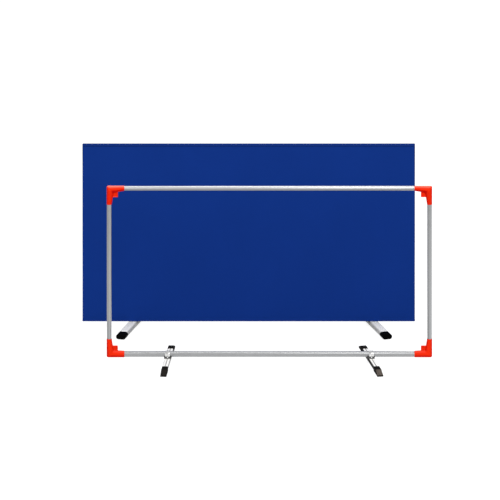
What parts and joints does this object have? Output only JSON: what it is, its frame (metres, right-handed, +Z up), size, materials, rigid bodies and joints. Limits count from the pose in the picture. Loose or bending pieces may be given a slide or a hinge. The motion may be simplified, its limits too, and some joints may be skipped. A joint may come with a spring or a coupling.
{
  "type": "table tennis barrier",
  "caption": "Low court surround panel on a tube frame with moulded corners and swivelling feet, shown with its lift-off cloth cover and as a bare frame beside it.",
  "frame": {"origin": "on the floor, in the middle of the bounding box of the two barriers", "axes": "+X along the barriers to the viewer's right, +Y from the bare frame towards the covered barrier, +Z up"},
  "size_m": [1.504, 0.9557, 0.8155],
  "materials": {
    "tube": "satin anodised",
    "foot": "bright extruded",
    "corner": "moulded, satin to gloss",
    "saddle": "moulded, matt",
    "strap": "bright",
    "fastener": "zinc plated",
    "boot": "matt, ribbed",
    "cap": "matt, plain",
    "cloth": "woven, matt"
  },
  "bodies": {
    "frames": {"bare_top_rail": "tube", "bare_bottom_rail": "tube", "bare_left_upright": "tube", "bare_right_upright": "tube", "bare_corner_top_left": "corner", "bare_corner_top_right": "corner", "bare_corner_bottom_left": "corner", "bare_corner_bottom_right": "corner", "bare_left_saddle": "saddle", "bare_left_strap": "strap", "bare_left_front_rivet": "fastener", "bare_left_back_rivet": "fastener", "bare_left_pivot_bolt": "fastener", "bare_left_pivot_nut": "fastener", "bare_right_saddle": "saddle", "bare_right_strap": "strap", "bare_right_front_rivet": "fastener", "bare_right_back_rivet": "fastener", "bare_right_pivot_bolt": "fastener", "bare_right_pivot_nut": "fastener", "covered_top_rail": "tube", "covered_bottom_rail": "tube", "covered_left_upright": "tube", "covered_right_upright": "tube", "covered_corner_top_left": "corner", "covered_corner_top_right": "corner", "covered_corner_bottom_left": "corner", "covered_corner_bottom_right": "corner", "covered_left_saddle": "saddle", "covered_left_strap": "strap", "covered_left_front_rivet": "fastener", "covered_left_back_rivet": "fastener", "covered_left_pivot_bolt": "fastener", "covered_left_pivot_nut": "fastener", "covered_right_saddle": "saddle", "covered_right_strap": "strap", "covered_right_front_rivet": "fastener", "covered_right_back_rivet": "fastener", "covered_right_pivot_bolt": "fastener", "covered_right_pivot_nut": "fastener"},
    "bare_left_foot": {"bare_left_foot_bar": "foot", "bare_left_front_boot": "boot", "bare_left_back_boot": "boot"},
    "bare_right_foot": {"bare_right_foot_bar": "foot", "bare_right_front_boot": "boot", "bare_right_back_boot": "boot"},
    "covered_left_foot": {"covered_left_foot_bar": "foot", "covered_left_front_boot": "cap", "covered_left_back_boot": "cap"},
    "covered_right_foot": {"covered_right_foot_bar": "foot", "covered_right_front_boot": "cap", "covered_right_back_boot": "cap"},
    "cover": {"cover_front_panel": "cloth", "cover_back_panel": "cloth", "cover_top_strip": "cloth", "cover_left_strip": "cloth", "cover_right_strip": "cloth"}
  },
  "joints": [
    {"name": "bare_left_foot_swivel", "type": "hinge", "parent": "frames", "child": "bare_left_foot", "pos_m": [-0.385, -0.25594, 0.012], "axis": [0, 0, 1], "range_deg": [-85, 95]},
    {"name": "bare_right_foot_swivel", "type": "hinge", "parent": "frames", "child": "bare_right_foot", "pos_m": [0.489, -0.25594, 0.012], "axis": [0, 0, 1], "range_deg": [-100.5, 79.5]},
    {"name": "covered_left_foot_swivel", "type": "hinge", "parent": "frames", "child": "covered_left_foot", "pos_m": [-0.534, 0.27306, 0.012], "axis": [0, 0, 1], "range_deg": [-75, 105]},
    {"name": "covered_right_foot_swivel", "type": "hinge", "parent": "frames", "child": "covered_right_foot", "pos_m": [0.501, 0.27306, 0.012], "axis": [0, 0, 1], "range_deg": [-106.5, 73.5]},
    {"name": "cover_lift", "type": "slide", "parent": "frames", "child": "cover", "axis": [0, 0, 1], "range_m": [0, 0.8]}
  ]
}
